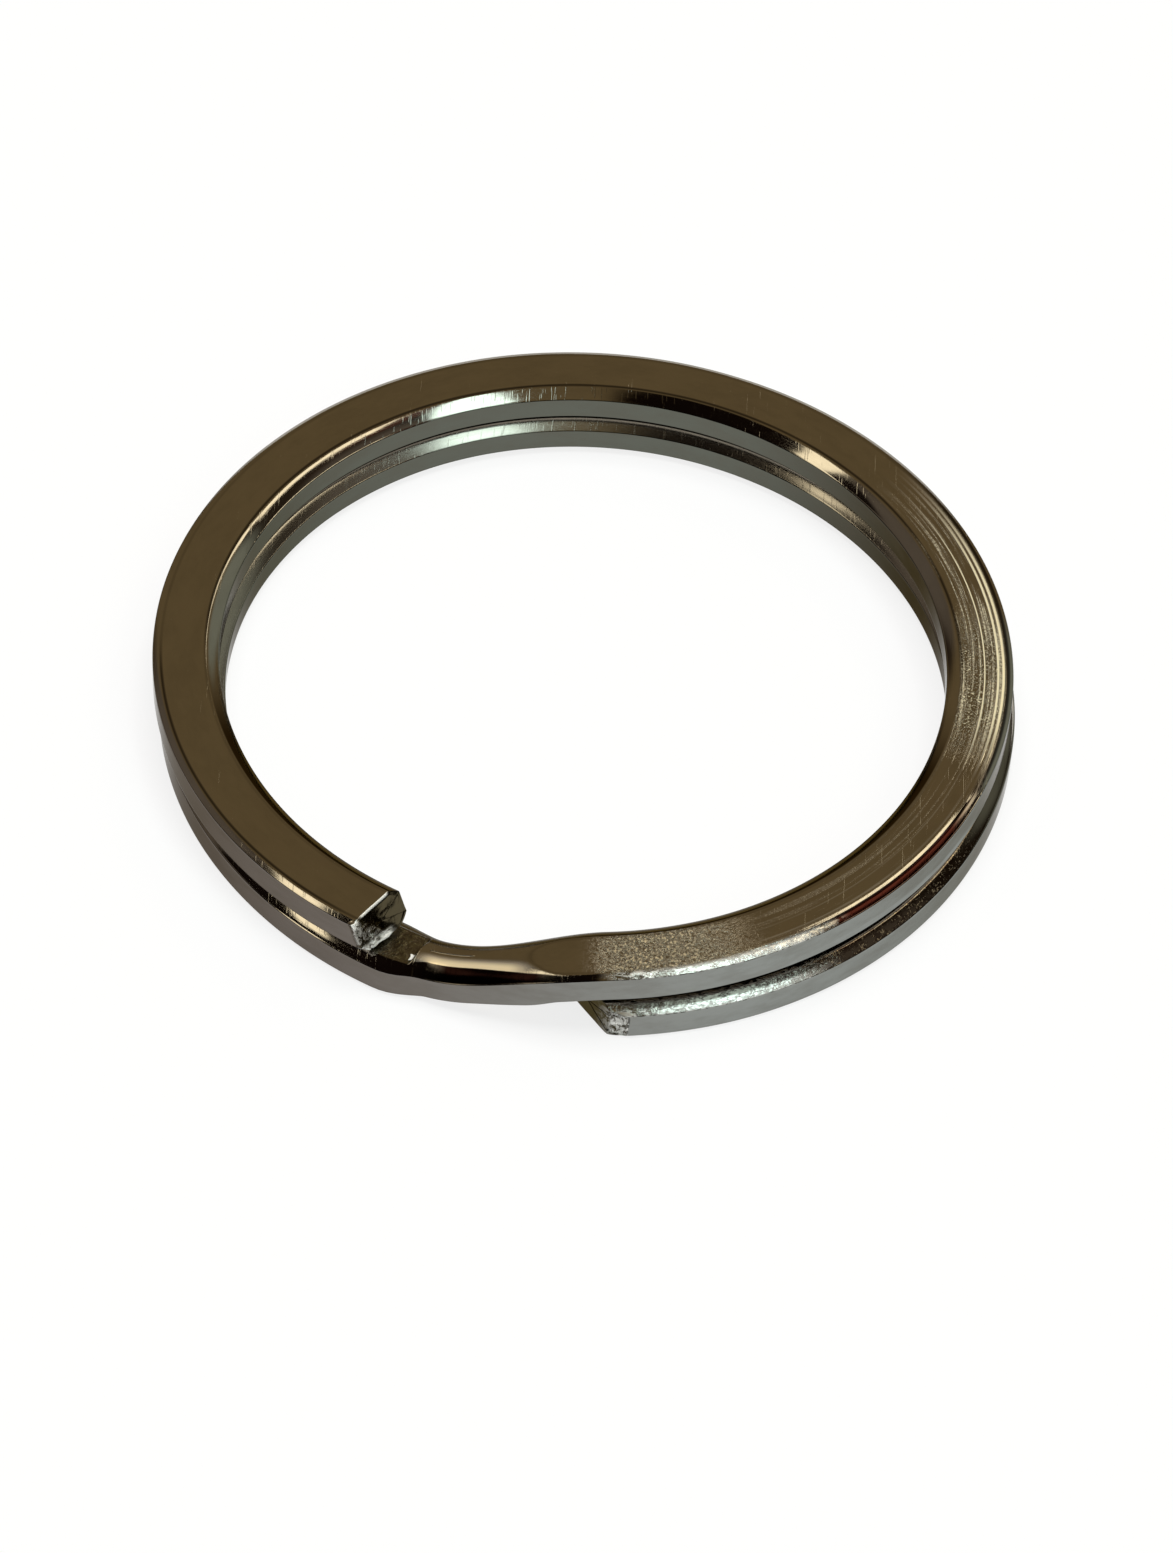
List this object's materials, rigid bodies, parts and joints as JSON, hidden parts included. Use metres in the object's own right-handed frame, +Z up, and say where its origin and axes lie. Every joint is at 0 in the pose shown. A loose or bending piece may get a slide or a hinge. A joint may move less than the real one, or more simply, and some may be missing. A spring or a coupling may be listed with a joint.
{
  "type": "key ring",
  "caption": "Flat split ring of coiled spring wire for holding keys: stacked pressed turns joined by a short jog, with sheared wire ends.",
  "frame": {"origin": "centre of the ring on the plane it lies on, under the lower coil", "axes": "+Z up through the ring's opening, +X to the right and -Y to the front, where the wire's ends and the jog are"},
  "size_m": [0.0302, 0.03, 0.0032],
  "materials": {
    "nickel_plate": "bright nickel plate on pressed spring steel, fine concentric scratches"
  },
  "bodies": {
    "root": {"split_ring": "nickel_plate"}
  },
  "joints": []
}
